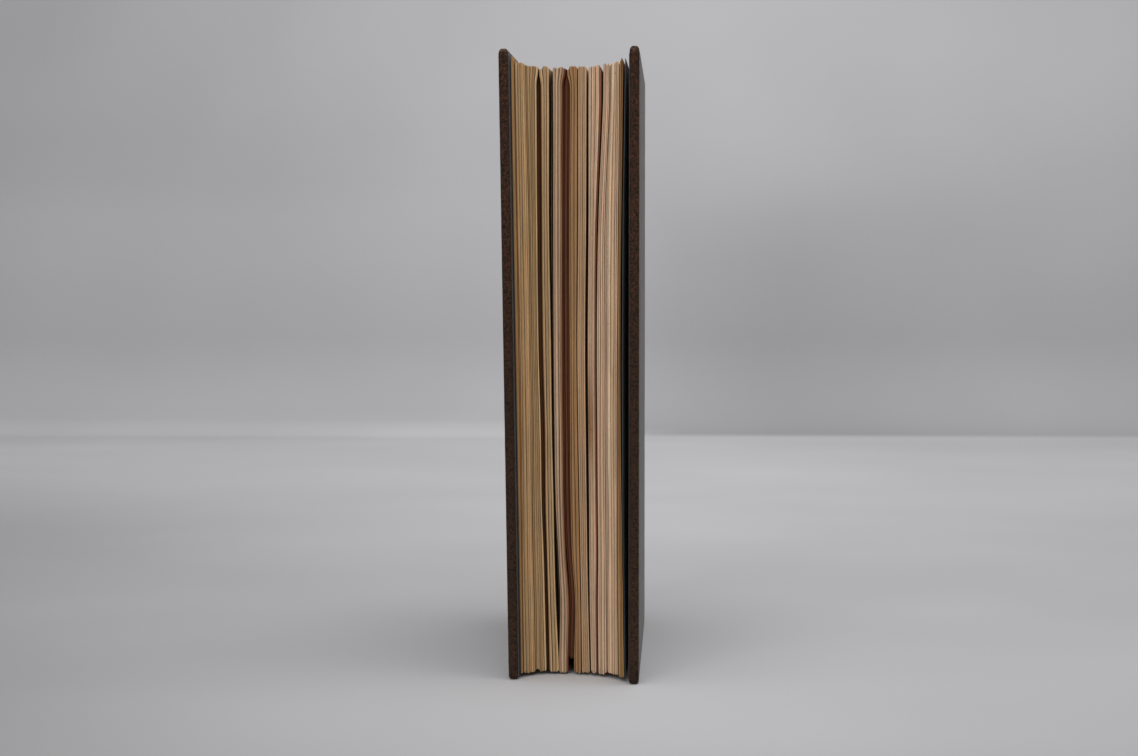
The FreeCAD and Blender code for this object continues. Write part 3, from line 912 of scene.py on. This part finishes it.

# %% [markdown]
# ## The joints
# Where cover and spine meet, the real skin is one thin crease. A narrow band of leather, thinner than the
# skins, lies between their faces there with a slight dip at the slit, and inside, a paper hinge joins
# flyleaf and pastedown.

# %% Bands at the joints
def band_piece(name, outline, low, high, material):
    """A thin closed band: an outline in plan, given as two long edges, carried from low to high."""
    first, second = outline
    zs = np.linspace(low, high, 24)
    corners, quads = box_skin((len(first), 2, len(zs)), True)
    i, j, l = corners.T
    plan = np.where((j == 0)[:, None], first[i], second[i])
    points = np.concatenate([plan, zs[l][:, None]], 1)
    piece = make_piece(name, points, quads, material, sharp=50.0)
    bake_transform(piece)
    return piece


def turn_outwards(piece):
    """Turns the faces of a closed band outwards."""
    work = bmesh.new()
    work.from_mesh(piece.data)
    bmesh.ops.recalc_face_normals(work, faces=work.faces)
    work.to_mesh(piece.data)
    work.free()


def joint_band(side):
    """Leather across the slit between spine strip and cover, from 1.6 mm before it to 1.6 mm after."""
    u = np.linspace(-1.6, 1.6, 17) * MM
    dip = 0.08 * MM * np.exp(-((u / (0.5 * MM)) ** 2))
    outer = place(side, u, -0.22 * MM - dip, 0.0)[:, :2]
    inner = place(side, u, -0.5 * MM - dip, 0.0)[:, :2]
    start, end = place(side, -skin_gap, -0.3 * MM, 0.0), place(side, skin_gap, -0.3 * MM, 0.0)
    piece = band_piece(SIDE_NAMES[side] + "_joint_leather", (inner, outer), 0.5 * MM,
                       board_height - 0.5 * MM, skin_finish)
    turn_outwards(piece)
    give_attribute(piece, "wear", np.full(len(piece.data.vertices), 0.15))


def paper_hinge(side):
    """The black paper's fold in the gutter: along the pastedown, round the fold, along the flyleaf."""
    far, near, gap = 7.0 * MM, 1.7 * MM, cover_clearance
    face, leaf_face = -cover_thickness - 0.02 * MM, -cover_thickness - gap + 0.02 * MM
    middle, radius = (face + leaf_face) / 2, (face - leaf_face) / 2
    turn = np.linspace(0, np.pi, 15)
    straight, shrink = np.linspace(far, near, 8), 0.3
    w = np.concatenate([np.full(7, face), middle + radius * np.cos(turn), np.full(7, leaf_face)])
    u, inner_u = [np.concatenate([straight[:-1], near - size * np.sin(turn),
                                  np.linspace(near, far, 8)[1:]]) for size in (radius, radius * shrink)]
    outer = place(side, u, w, 0.0)[:, :2]
    inner = place(side, inner_u, middle + (w - middle) * shrink, 0.0)[:, :2]
    start, end = place(side, near, leaf_face, 0.0), place(side, near, face, 0.0)
    piece = band_piece(SIDE_NAMES[side] + "_paper_hinge", (inner, outer), square + 0.3 * MM,
                       board_height - square - 0.3 * MM, black_paper)
    turn_outwards(piece)


for side in (FRONT, BACK):
    joint_band(side)
    paper_hinge(side)

# %% [markdown]
# ## The headbands
# Silk is wound round a cord at the head and tail of the folds, in alternate bands of two colours. Each
# turn of thread is a low ridge, so a tube whose radius rises and falls once a turn is enough.

# %% Wound headbands
headband_radius, turn_width, turns_a_band = 1.05 * MM, 0.42 * MM, 4
band_tones = (paint(120, 52, 36), paint(196, 172, 128))


def headband_piece(name, node_name, edge, way):
    """A ridged tube along the folds: its radius swells once for each turn of thread."""
    angles = spine_turns()
    length = abs(angles[-1] - angles[0]) * spine_radius
    turns = int(length / turn_width)
    s = np.linspace(0, 1, turns * 6 + 1)
    angle = angles[0] + (angles[-1] - angles[0]) * s
    swell = headband_radius * (0.9 + 0.1 * np.abs(np.sin(np.pi * s * turns)))
    swell = swell * smooth_step(np.minimum(s, 1 - s) * 60 + 0.05)
    around = np.linspace(0, 2 * np.pi, 17)[:-1]
    out = 0.2 * MM - headband_radius + swell[:, None] * np.cos(around)
    height = edge + way * headband_radius * 0.92 + swell[:, None] * np.sin(around)
    x = spine_centre[0] + (spine_radius + out) * np.cos(angle)[:, None]
    y = spine_centre[1] + (spine_radius + out) * np.sin(angle)[:, None]
    points = np.stack([x, y, height], -1).reshape(-1, 3)
    piece = make_piece(name, points, tube_quads(len(s), 16), silk, "book_block", 80.0)
    turn_outwards(piece)
    band = (np.floor(s * turns / turns_a_band) % 2).astype(int)
    colour = np.array(band_tones)[band]
    give_attribute(piece, "tone", np.repeat(colour, 16, 0))
    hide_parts(node_name)
    return piece


headband_piece("head_band_silk", "headband", board_height - square, 1)
headband_piece("tail_band_silk", "tailband", square, -1)

# %% [markdown]
# ## The stage
# The book stands on a pale grey sheet that sweeps up behind it, whose greys carry painted light and shade.
# One broad soft light hangs above, a little to the right and in front, a second stands further in front on
# the left, and an even white sky fills the shadows.

# %% Floor and backdrop
# Painted light and shade on the sheet: greys of the floor along y and of the wall up z, the wall's change
# from left to right, and how much the left side falls off along y, each as places and the values there
painted_floor_light = ((-1.6, -0.3, -0.2, -0.1, 0.0, 0.25, 0.5, 1.36, 1.7),
               (0.33, 0.35, 0.385, 0.415, 0.44, 0.44, 0.50, 0.62, 0.62))
painted_wall_light = ((0.0, 0.06, 0.2, 0.35, 0.5, 2.7), (0.43, 0.415, 0.455, 0.515, 0.52, 0.52))
painted_wall_light_sideways = ((-0.65, -0.42, -0.2, -0.1, 0.05, 0.16, 0.27, 0.4, 0.6),
                 (0.2, 0.18, 0.1, 0.1, -0.08, -0.13, -0.08, 0.0, 0.02))
painted_left_falloffs = ((-1.6, 0.0, 0.5, 1.36, 1.46), (0.42, 0.42, 0.34, 0.2, 0.26))


def sweep():
    """One sheet: flat floor, a small round and an upright wall, as a profile carried along X. Its grey is
    painted light and shade, set corner by corner: a floor tone, a wall tone that differs from left to
    right, a step between them that is soft on the left and sharp on the right, and a fall towards both
    sides."""
    start, bend, radius, top = -1.6, 1.36, 0.1, 2.6
    turn = np.linspace(0, np.pi / 2, 12)[1:]
    y = np.concatenate([np.linspace(start, bend, 149), bend + radius * np.sin(turn),
                        np.full(60, bend + radius)])
    z = np.concatenate([np.zeros(149), radius * (1 - np.cos(turn)),
                        np.linspace(radius, top, 61)[1:]])
    x = np.linspace(-3.0, 3.0, 151)
    points = np.stack(np.broadcast_arrays(x[:, None], y, z), -1).reshape(-1, 3)
    grid = np.arange(len(points)).reshape(len(x), len(y))
    quads = np.stack([grid[:-1, :-1], grid[1:, :-1], grid[1:, 1:], grid[:-1, 1:]], -1).reshape(-1, 4)
    x, y, z = points.T
    # Painted light and shade: the floor darkens towards the front, the wall towards its foot, and the step
    # from floor to wall is a painted change of light
    floor = curve_through(*painted_floor_light, y)
    wall = curve_through(*painted_wall_light, z)
    sideways = curve_through(*painted_wall_light_sideways, x)
    wall = wall * (1 + sideways * smooth_step((0.3 - z) / 0.11))
    softness = 0.02 - 0.016 * smooth_step((x + 0.2) / 0.25)
    tone = floor + (wall - floor) * smooth_step(z / softness)
    # Painted falloff of light towards both sides, strongest on the left
    aside = (x - 0.02) / (y + 1.6)
    painted_left_falloff = curve_through(*painted_left_falloffs, y)
    tone = tone * (1 - painted_left_falloff * smooth_step(-aside / 0.26) - 0.16 * smooth_step(aside / 0.24))
    material, tree, shader, where = new_finish("backdrop_paper_painted_light", 0.9, 0.1)
    clouds = levels(tree, noise(tree, where, 3.0, 2.0), 0.3, 0.7, 0.95, 1.05)
    grey = node(tree, "CombineColor", {0: clouds, 1: clouds, 2: clouds}).outputs[0]
    shaded = mix(tree, 1.0, attribute(tree, "tone", "Color"), grey, "MULTIPLY")
    tree.links.new(shaded, shader.inputs["Base Color"])
    piece = make_piece("sweep", points, quads, material, sharp=180.0)
    give_attribute(piece, "tone", tone[:, None] * np.array([1.0, 0.995, 1.02]))
    return piece


sweep()

# %% Lights and sky
def soft_light(name, place_at, aim, size, power):
    """A square lamp with no hard edge, turned towards a point."""
    lamp = bpy.data.lights.new(name, "AREA")
    lamp.shape, lamp.size, lamp.energy = "SQUARE", size, power
    holder = bpy.data.objects.new(name, lamp)
    bpy.context.scene.collection.objects.link(holder)
    holder.location = place_at
    direction = np.subtract(aim, place_at)
    holder.rotation_euler = Vector(direction).to_track_quat("-Z", "Y").to_euler()
    return holder


soft_light("overhead", (0.35, -0.25, 1.7), (0.0, 0.05, 0.0), 1.6, 17.0)
soft_light("front_fill", (-0.3, -1.9, 0.9), (0.0, 0.0, 0.12), 1.4, 26.0)
world = bpy.context.scene.world or bpy.data.worlds.new("sky")
bpy.context.scene.world = world
world.use_nodes = True
sky = world.node_tree.nodes["Background"]
sky.inputs["Color"].default_value = (1.0, 1.0, 1.0, 1.0)
sky.inputs["Strength"].default_value = 0.6

# %% [markdown]
# ## The camera
# The photograph was taken from about a metre in front of the fore-edge, at about two thirds of the
# book's height and slightly to the right. The camera is tipped down by 2.4 degrees and turned to the
# left by three.

# %% Camera
camera = bpy.data.cameras.new("camera")
camera.lens, camera.sensor_width = 75.86, 36.0
tipped_down, turned_left = 2.395, 2.955
holder = bpy.data.objects.new("camera", camera)
bpy.context.scene.collection.objects.link(holder)
holder.location = (0.04956, -1.0483, 0.1623)
holder.rotation_euler = (math.radians(90 - tipped_down), 0.0, math.radians(turned_left))
bpy.context.scene.camera = holder
bpy.context.scene.view_settings.view_transform = "Standard"
